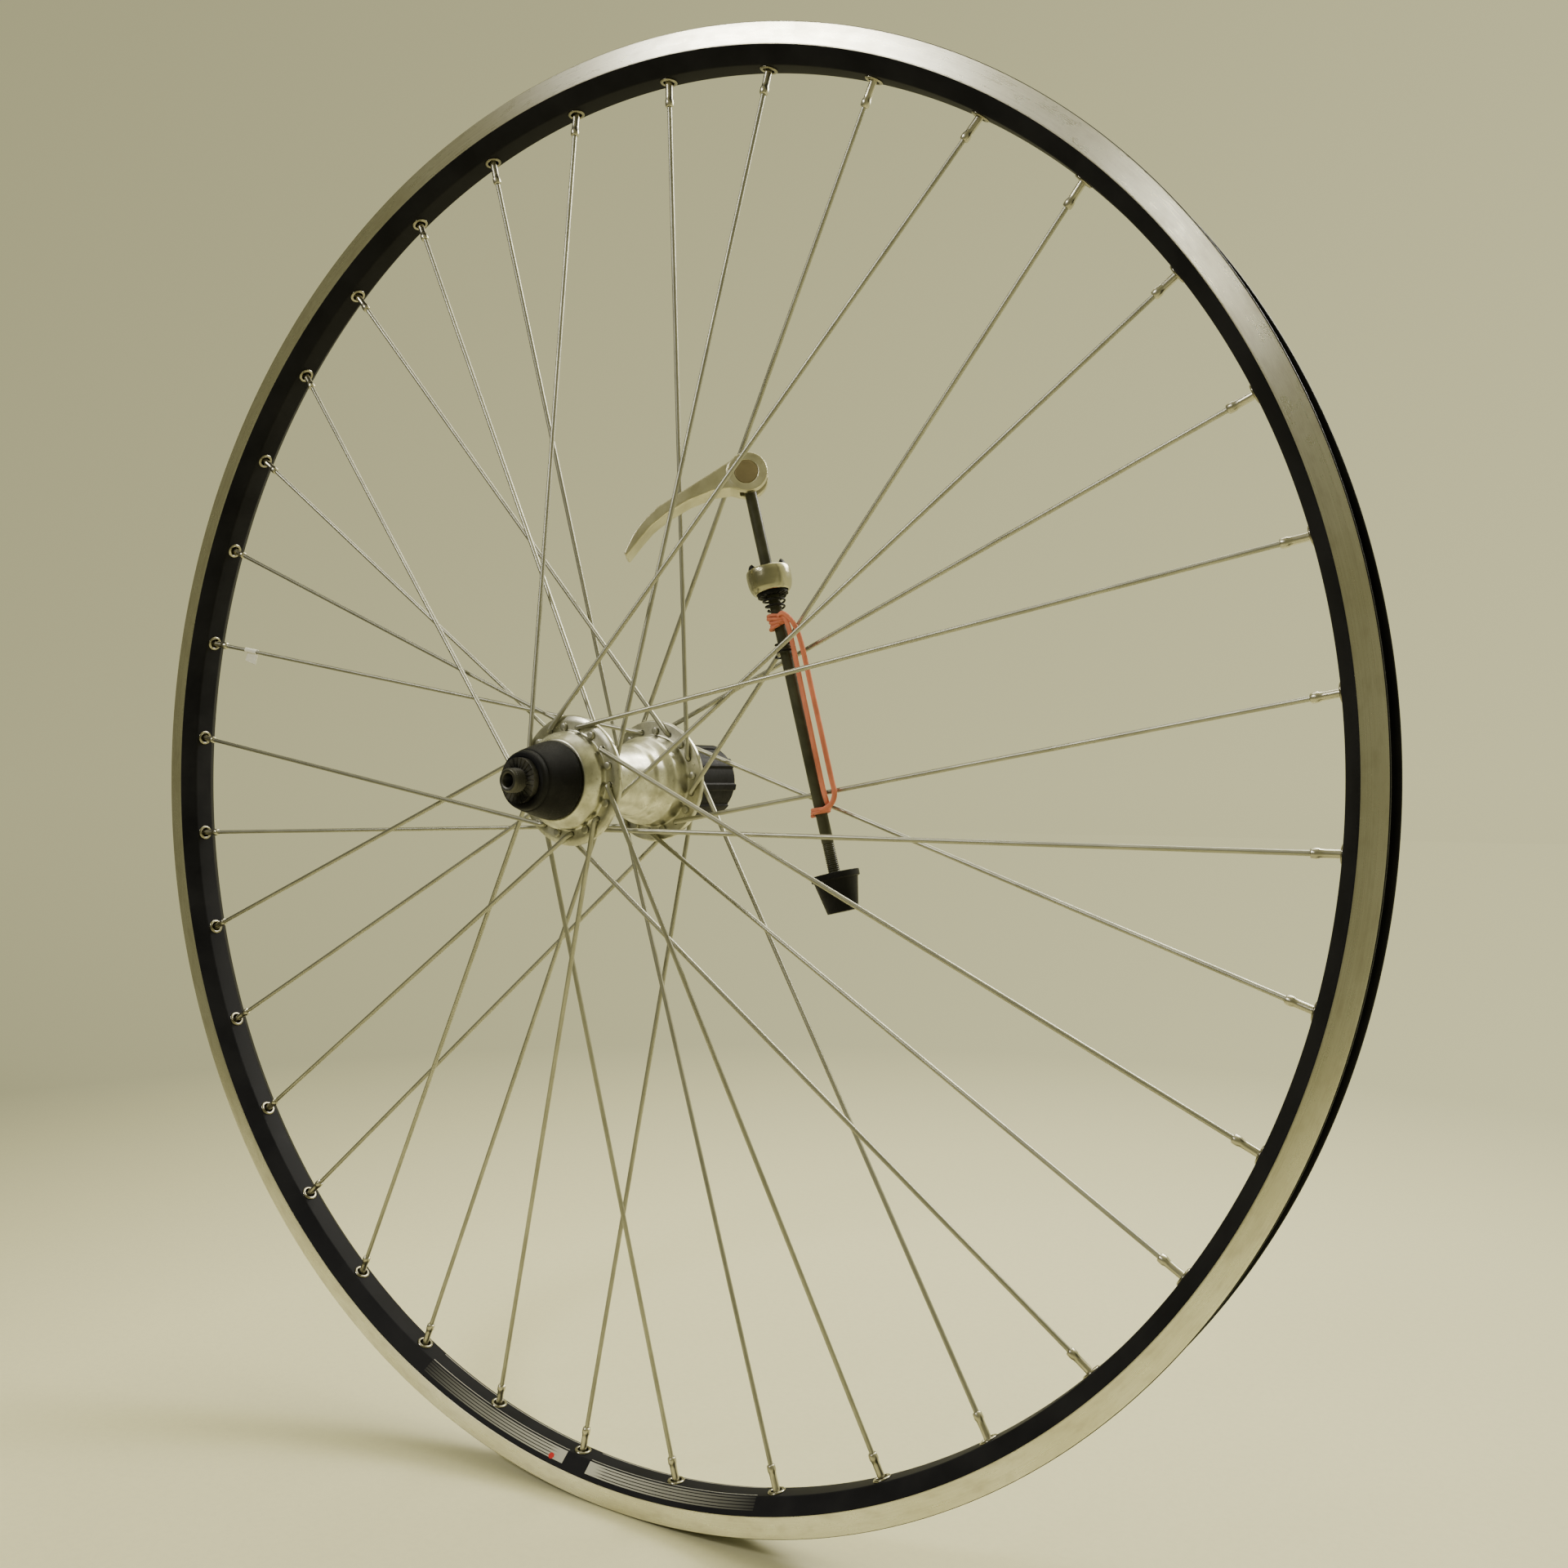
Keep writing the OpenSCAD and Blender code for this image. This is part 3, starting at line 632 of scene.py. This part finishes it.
def make_rim():
    """One ring with its holes cut, bare where the brake pads run."""
    rim = lathe("rim_body", rim_outline(), 720)
    cutters = []
    for angle in spoke_angles():
        cutters.append(radial_rod(angle, BED_R - 2 * MM, BED_R + 3 * MM, EYELET_HOLE_R))
        cutters.append(radial_rod(angle, RIM_R - 10.5 * MM, RIM_R - 5 * MM, ACCESS_HOLE_R))
    cutters.append(radial_rod(VALVE_ANGLE, BED_R - 3 * MM, RIM_R, VALVE_HOLE_R))
    cut_with(rim, cutters)
    sharpen(rim, 40)
    finish(rim, "rim", "wheel", "rim_alloy", "rim")
    rim.data.materials.append(MATERIALS["track"])
    for face in rim.data.polygons:
        flat_side = abs(face.normal.y) > 0.95 and abs(face.center.y) > HALF_W - 0.3 * MM
        face.material_index = 1 if flat_side else 0


def make_eyelets():
    """A pressed ring with a rolled lip at each spoke hole."""
    outline = [
        (2.4, 2.0), (2.4, -0.55), (2.75, -0.8), (3.4, -0.75), (3.8, -0.3), (3.8, 0.0),
        (2.9, 0.05), (2.9, 2.0),
    ]
    section = rounded(outline, 0.3, 3)
    parts = []
    sides = 40
    for angle in spoke_angles():
        outward = polar(1, angle)
        along = Vector((0, 1, 0))
        tangent = outward.cross(along)
        centre = polar(BED_R - 0.05 * MM, angle)
        vertices = []
        for a in full_turn(sides):
            sideways = math.cos(a) * along + math.sin(a) * tangent
            vertices += [centre + (sideways * r + outward * out) * MM for r, out in section]
        parts.append((vertices, ring_faces(sides, len(section))))
    finish(joined("eyelet_rings", parts, 60), "eyelet", "wheel", "eyelet_steel", "eyelets")


def make_nipples():
    """Slim round nipples: a rounded mouth at the spoke, a collar, and a head behind the bed."""
    section = [
        (-10.6, 1.15), (-10.55, 1.5), (-10.2, 1.75), (-9.0, 1.85), (-7.9, 1.8), (-7.5, 1.55),
        (-6.0, 1.5), (-1.0, 1.5), (0.8, 1.6), (1.6, 2.2), (2.2, 2.6), (3.0, 2.6), (3.4, 2.0),
    ]
    parts = []
    for _node, first, lead, elbow_y, _face, _head in GROUPS:
        for i in range(PER_GROUP):
            angle = first + i * GROUP_PITCH
            inner = polar(HOLE_CIRCLE, angle + lead, elbow_y * MM)
            outward = (polar(BED_R, angle) - inner).normalized()
            path = [polar(BED_R, angle) + outward * s * MM for s, _r in section]
            parts.append(tube_data(path, [r * MM for _s, r in section], 24))
    finish(joined("nipple_set", parts, 55), "nipple", "wheel", "nipple_brass", "nipples")


make_rim()
make_eyelets()

# ---------------------------------------------------------------- spokes


def spoke_data(rim_angle, lead, elbow_y, face_y, head_side):
    """A spoke from its pressed head, through the flange, round the elbow and out to the nipple."""
    head_shape = ((1.05, 0.9), (1.0, 1.3), (0.8, 1.65), (0.45, 1.85), (0.1, 1.8), (-0.05, 1.0))
    corner = polar(HOLE_CIRCLE, rim_angle + lead, elbow_y * MM)
    rim_end = polar(BED_R, rim_angle)
    away = (rim_end - corner).normalized()
    axis = Vector((0, head_side, 0))
    head = Vector((corner.x, (face_y + head_side * 0.05) * MM, corner.z))
    bend = 1.7 * MM
    path, radii = [], []
    for depth, radius in head_shape:
        path.append(head + axis * depth * MM)
        radii.append(radius * MM)
    start = corner + axis * bend
    end = corner + away * bend
    for k in range(9):
        t = k / 8
        path.append((1 - t) ** 2 * start + 2 * t * (1 - t) * corner + t * t * end)
        radii.append(SPOKE_R * 1.03)
    length = (rim_end - corner).length
    for part in (0.06, 0.12, 0.5, 0.9):
        path.append(corner + away * length * part)
        radii.append(SPOKE_R)
    path.append(rim_end - away * 1.5 * MM)
    radii.append(SPOKE_R)
    return tube_data(path, radii, 16)


make_nipples()
for node, first, lead, elbow_y, face_y, head_side in GROUPS:
    angles = [first + i * GROUP_PITCH for i in range(PER_GROUP)]
    parts = [spoke_data(angle, lead, elbow_y, face_y, head_side) for angle in angles]
    finish(joined(node + "_wire", parts, 50), "spoke", "wheel", "spoke_steel", node)

# ---------------------------------------------------------------- hub


def make_hub():
    """Barrel and both flanges in one, with a hole in a flange for each spoke."""
    outline = [
        # left end and left flange
        (14.2, -46), (16.9, -46), (17.6, -45.4), (19.6, -42.6), (20.5, -41), (20.7, -39.8),
        (20.4, -38.2), (20.9, -37.2), (25.2, -37.2), (27.5, -36.3), (27.5, -34.7), (26.9, -34),
        (20.4, -34),
        # barrel, with its steps
        (17.9, -32.6), (16.2, -29.6), (15.5, -26), (15.1, -12), (15.5, 1.2), (16.7, 3.2),
        (17.1, 7.8), (18.4, 9.6), (19.7, 11.2), (19.9, 15.6), (20.1, 18.6),
        # right flange and right end
        (20.6, 19.4), (26.9, 19.4), (27.4, 20), (27.4, 21.7), (25.2, 22.6), (20.6, 22.6),
        (20.2, 23.2), (20.2, 25.2), (12, 25.2),
        # bore
        (12, 16), (7.55, 16), (7.55, 8), (11.6, 5.5), (11.6, -33), (12.4, -37.6), (14.2, -37.6),
    ]
    hub = lathe("hub_body", rounded([(r * MM, y * MM) for r, y in outline], 0.9 * MM, 4), 256)
    cutters = []
    for _node, first, lead, _elbow, face_y, _head in GROUPS:
        middle = FLANGE_MIDDLES["left" if face_y < 0 else "right"]
        for i in range(PER_GROUP):
            angle = first + lead + i * GROUP_PITCH
            ends = [polar(HOLE_CIRCLE, angle, y * MM) for y in (middle - 2.6, middle + 2.6)]
            cutters.append(rod_data(*ends, FLANGE_HOLE_R, 24))
    cut_with(hub, cutters)
    sharpen(hub, 42)
    finish(hub, "hub", "wheel", "hub_alloy", "hub_shell")


def make_boot():
    """Rubber cone over the left bearing, with its lip against the hub."""
    outline = [
        (12.6, -46.4), (15.9, -46.4), (16.35, -47.0), (16.4, -48.2), (16.0, -50.2), (14.4, -56.2),
        (12.9, -61.4), (12.6, -62.0), (12.35, -62.1), (12.2, -62.8), (12.0, -64.0), (11.4, -65),
        (9.3, -65), (9.3, -61.8), (8.05, -61.8), (8.05, -53.4), (12.6, -51.6),
    ]
    boot = lathe("boot", rounded([(r * MM, y * MM) for r, y in outline], 0.5 * MM, 4), 192)
    finish(sharpen(boot, 50), "boot", "axle_set", "boot_rubber", "left_boot")


def make_axle():
    """Hollow axle with its thread cut as rings over each end."""
    low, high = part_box("axle")
    outer = high.x
    bore = 2.8 * MM
    pitch = 1.0 * MM
    root = outer - 0.55 * MM
    chamfer = 0.3 * MM
    outline = [(bore, low.y + chamfer), (bore + chamfer, low.y), (root - 0.2 * MM, low.y)]
    y = low.y + 0.5 * MM
    while y < high.y - 0.6 * MM:
        outline += [(root, y), (outer, y + 0.42 * pitch), (outer, y + 0.58 * pitch)]
        y += pitch
    outline += [(root, high.y - chamfer), (root - 0.2 * MM, high.y)]
    outline += [(bore + chamfer, high.y), (bore, high.y - chamfer)]
    axle = lathe("axle_threaded", outline, 96)
    finish(sharpen(axle, 50), "axle", "axle_set", "black_steel", "axle")


def make_freehub():
    """Splined shell with rounded splines; its ratchet and races stay hidden inside."""
    piece = softened("freehub_shell", "freehub_body", 0.28 * MM, 3)
    finish(piece, "freehub", "freehub", "freehub_steel", "freehub_shell")


make_hub()
make_boot()
make_axle()
make_freehub()

# ---------------------------------------------------------------- skewer


def on_skewer(points):
    """Points given in mm in the skewer's own frame, where z runs back up the rod from the pin."""
    return [SKEWER @ (Vector(p) * MM) for p in points]


def skewer_lathe(name, outline, steps, radius):
    """An outline of (radius, distance below the pin), in mm, turned about the rod."""
    points = rounded(outline, radius, 3)
    local = [(r * math.cos(a), r * math.sin(a), -s) for a in full_turn(steps) for r, s in points]
    return mesh_piece(name, on_skewer(local), ring_faces(steps, len(points)))


def make_rod():
    """A plain rod with its thread cut as rings, and the eye that the cam pin turns in."""
    eye_end, thread_from, end, pitch = 4.6, 158.0, 181.0, 0.8
    stations = [(eye_end, ROD_R), (9.0, ROD_R), (60.0, ROD_R), (120.0, ROD_R), (thread_from, ROD_R)]
    s = thread_from + 0.2
    while s < end - pitch:
        stations += [(s, ROD_R - 0.1), (s + 0.25, ROD_R)]
        stations += [(s + 0.4, ROD_R), (s + 0.65, ROD_R - 0.38)]
        s += pitch
    stations.append((end, ROD_R - 0.6))
    path = on_skewer([(0, 0, -s) for s, _r in stations])
    rod = joined("rod", [tube_data(path, [r * MM for _s, r in stations], 40)], 60)
    section = rounded([(3.15, -2.3), (5.4, -2.3), (5.4, 2.3), (3.15, 2.3)], 0.4, 3)
    sides = 64
    local = [(r * math.cos(a), y, r * math.sin(a)) for a in full_turn(sides) for r, y in section]
    eye = mesh_piece("rod_eye", on_skewer(local), ring_faces(sides, len(section)))
    finish(rod, "rod", "wheel", "rod_steel", "skewer_rod")
    finish(sharpen(eye, 50), "rod", "wheel", "rod_steel")


def make_lever():
    """The lever and its cam pin, both from their CAD solids with the edges rounded."""
    lever = softened("lever", "lever_body", 0.3 * MM, 10)
    finish(lever, "lever", "lever", "lever_alloy", "lever")
    pin = softened("cam_pin", "pin_body", 0.22 * MM, 3)
    finish(pin, "pin", "lever", "pin_bronze", "cam_pin")


def horn_data(side):
    """A rounded horn standing on one side of the saddle."""
    path, radii = [], []
    for k in range(13):
        turn = math.pi * k / 12
        path.append((side * 5.9, 0, -(40.9 - 3.0 * math.cos(turn))))
        radii.append(max(0.05, 3.8 * math.sin(turn)) * MM)
    return tube_data(on_skewer(path), radii, 32, flat=0.55, up=PIN_AXIS)


def make_saddle():
    """Black saddle in the cup: a ring, and two horns hollowed between them by the cam's round."""
    horns = joined("horns", [horn_data(1), horn_data(-1)], 50)
    cut_with(horns, [rod_data(*on_skewer([(0, -9, -CAM_AT), (0, 9, -CAM_AT)]), CAM_R * MM, 64)])
    outline = [(2.75, 49.3), (2.75, 42.0), (3.4, 41.4), (6.2, 41.1), (7.1, 41.5), (7.1, 49.3)]
    ring = skewer_lathe("saddle_ring", outline, 96, 0.3)
    parts = []
    for spare in (ring, horns):
        vertices = [v.co.copy() for v in spare.data.vertices]
        faces = [tuple(f.vertices) for f in spare.data.polygons]
        parts.append((vertices, faces))
        bpy.data.objects.remove(spare)
    return joined("saddle", parts, 50)


def make_cup():
    """The bright cup, the black saddle inside it and the toothed washer at its foot."""
    outline = [
        (6.75, 51.4), (6.65, 49.6), (7.25, 49.4), (7.25, 41.6), (7.45, 41.0), (8.7, 41.0),
        (9.15, 41.7), (9.38, 43.2), (9.4, 45.4), (9.2, 47.6), (8.7, 49.6), (8.0, 50.9), (7.4, 51.4),
    ]
    cup = skewer_lathe("cup_ring", outline, 128, 0.4)
    finish(sharpen(cup, 50), "cup", "cup", "cup_chrome", "cup")
    finish(make_saddle(), "plastic", "cup", "black_plastic", "cup_saddle")
    washer = softened("cup_washer", "grip_washer", 0.14 * MM, 1)
    finish(washer, "black_steel", "cup", "black_steel", "cup_washer")


def make_spring(name, node, s0, s1, r0, r1):
    """A conical coil with closed end turns."""
    path = []
    turns, per_turn, wire_r = 2.6, 28, 0.45
    count = int(turns * per_turn)
    for i in range(count + 1):
        t = i / count
        eased = t * t * (3 - 2 * t) * 0.55 + t * 0.45
        radius = r0 + (r1 - r0) * t
        a = 2 * math.pi * i / per_turn
        path.append((radius * math.cos(a), radius * math.sin(a), -(s0 + (s1 - s0) * eased)))
    wire = joined(name, [tube_data(on_skewer(path), [wire_r * MM] * len(path), 12)], 60)
    finish(wire, "black_steel", "wheel", "spring_steel", node)


def make_nut():
    """Conical thumb nut: a wide lip and twelve flutes."""
    piece = softened("skewer_nut", "thumb_nut", 0.2 * MM, 4)
    finish(piece, "plastic", "nut", "black_plastic", "skewer_nut")


make_rod()
make_lever()
make_cup()
make_spring("spring_upper", "spring_lever_side", 53.7, 58.8, 4.9, 3.4)
make_spring("spring_lower", "spring_nut_side", 72.6, 78.8, 3.3, 4.5)
make_nut()

# ---------------------------------------------------------------- rubber band


def smooth_path(points):
    """A curve through the points, eased at each one."""
    points = [Vector(p) for p in points]
    per_leg = 14
    out = []
    for i in range(len(points) - 1):
        p0, p1 = points[max(i - 1, 0)], points[i]
        p2, p3 = points[i + 1], points[min(i + 2, len(points) - 1)]
        for k in range(per_leg):
            t = k / per_leg
            out.append(
                0.5 * (2 * p1 + (p2 - p0) * t + (2 * p0 - 5 * p1 + 4 * p2 - p3) * t * t
                       + (3 * p1 - p0 - 3 * p2 + p3) * t ** 3)
            )
    return out + [points[-1]]


def turns_about_rod(first, last, turns, lean, seed):
    """Uneven turns of the band about the rod, leaning and rising over one another."""
    per_turn = 36
    count = int(turns * per_turn)
    path = []
    for i in range(count + 1):
        a = 2 * math.pi * i / per_turn + seed
        lap = 3.25 + (0.5 + 0.5 * lean) * math.sin(a * 0.37 + seed) ** 2
        along = first + (last - first) * i / count + lean * math.sin(a * 1.13 + seed)
        path.append((lap * math.cos(a), lap * math.sin(a), -along))
    return path


# each strand of the band: across the rod, towards the back, and down the rod, in millimetres
STRANDS = (
    [
        (2.5, -2.9, 61.5), (4.5, -2.2, 65), (5.0, -1.6, 72), (4.6, -1.5, 100), (4.2, -1.5, 134),
        (4.2, -1.0, 141), (3.2, 1.0, 143.5), (1.0, 3.0, 144.2),
    ],
    [
        (1.8, -3.4, 62.5), (4.6, -2.9, 62.0), (7.2, -1.0, 67), (8.1, 0.2, 76), (8.0, 0.5, 100),
        (7.9, 0.5, 132), (8.1, 0.2, 139), (6.8, -1.2, 143), (4.2, -2.6, 144.6), (1.6, -3.3, 145.2),
    ],
)
# each bundle of turns: its first and last place down the rod, turns, lean and seed
BUNDLES = ((61.6, 66.0, 4.6, 0.9, 1.0), (143.9, 146.2, 2.2, 0.2, 2.0))


def make_band():
    """Two bundles of turns about the rod, with two flat strands between them."""
    facing = Matrix.Rotation(math.atan2(PIN_AXIS.x, PIN_AXIS.y), 4, "Z")
    flat_frame = SKEWER @ facing
    parts = []
    for bundle in BUNDLES:
        path = on_skewer(turns_about_rod(*bundle))
        parts.append(tube_data(path, [0.78 * MM] * len(path), 12))
    for points in STRANDS:
        path = [flat_frame @ (Vector((x, y, -s)) * MM) for x, y, s in smooth_path(points)]
        last = len(path) - 1
        width = [(0.85 + 0.35 * math.sin(math.pi * i / last) ** 0.5) * MM for i in range(last + 1)]
        parts.append(tube_data(path, width, 12, flat=0.62, up=flat_frame.col[0].to_3d()))
    finish(joined("band", parts, 60), "band", "wheel", "band_rubber", "rubber_band")


make_band()

# ---------------------------------------------------------------- tag


def make_tag():
    """A strip of white film folded over a spoke, with a free tail and soft wrinkles."""
    piece = softened("spoke_tag", "tag", 0.12 * MM, 2)
    for vertex in piece.data.vertices:
        vertex.co.y += noise.noise(vertex.co * 260) * 0.6 * MM
    finish(piece, "tag", "wheel", "tag_film", "spoke_tag")


make_tag()

# ---------------------------------------------------------------- floor and light

BACKDROP = (0.65, 0.62, 0.335)
FLOOR_HALF = 8
FLOOR_GAP = 0.2 * MM
floor_corners = [
    (x * FLOOR_HALF, y * FLOOR_HALF, rim_low.z - FLOOR_GAP)
    for x, y in ((-1, -1), (1, -1), (1, 1), (-1, 1))
]
floor = mesh_piece("floor", floor_corners, [(0, 1, 2, 3)])
floor.data.materials.append(floor_material((0.69, 0.66, 0.43), BACKDROP))


def studio():
    """Even behind the wheel, bright overhead and dim behind the photographer."""
    world = bpy.data.worlds.new("studio")
    scene.world = world
    world.use_nodes = True
    nodes = Nodes(world.node_tree)
    direction = nodes.node("ShaderNodeTexCoord").outputs["Generated"]

    def level_of(vector, stops):
        """A level that changes from straight against the vector (0) to straight along it (1)."""
        dot = nodes.node("ShaderNodeVectorMath", operation="DOT_PRODUCT")
        dot.inputs[1].default_value = vector
        nodes.join(direction, dot.inputs[0])
        half = nodes.math("ADD", nodes.math("MULTIPLY", dot.outputs["Value"], 0.5), 0.5)
        return nodes.ramp(half, stops)

    strength = nodes.product(
        level_of((0, 1, 0), [(0.0, 0.24), (0.45, 0.25), (0.62, 0.5)]),
        level_of(tuple(side), [(0.0, SIDE_LEVELS[0]), (1.0, SIDE_LEVELS[1])]),
        level_of((0, 0, 1), [(0.0, 0.3), (0.5, 0.5), (0.75, 0.41), (0.95, 1.0)]),
        8.0,
    )
    background = world.node_tree.nodes["Background"]
    background.inputs[0].default_value = (*BACKDROP, 1)
    nodes.join(strength, background.inputs[1])


def area_light(name, place, aim, size, power):
    data = bpy.data.lights.new(name, "AREA")
    data.shape = "RECTANGLE"
    data.size, data.size_y = size
    data.energy = power
    data.color = (1, 0.97, 0.88)
    light = bpy.data.objects.new(name, data)
    scene.collection.objects.link(light)
    light.location = place
    light.rotation_euler = (Vector(aim) - Vector(place)).to_track_quat("-Z", "Y").to_euler()


studio()
area_light("key", (-0.86, -1.45, 1.17), (0, 0, 0.25), (0.34, 0.4), 17)
area_light("strip", (-0.20, -1.45, 0.74), (0.25, 0, 0.18), (0.11, 0.3), 1.6)
area_light("overhead", (-0.2, 0.6, 2.0), (-0.1, 0, -0.3), (1.5, 1.5), 18)
area_light("low", (0.35, 0.9, 0.75), (-0.35, -0.1, -0.32), (0.6, 0.5), 13)
area_light("rear", (0.4, 1.5, 1.3), (0, 0, 0), (1.2, 1.0), 8)
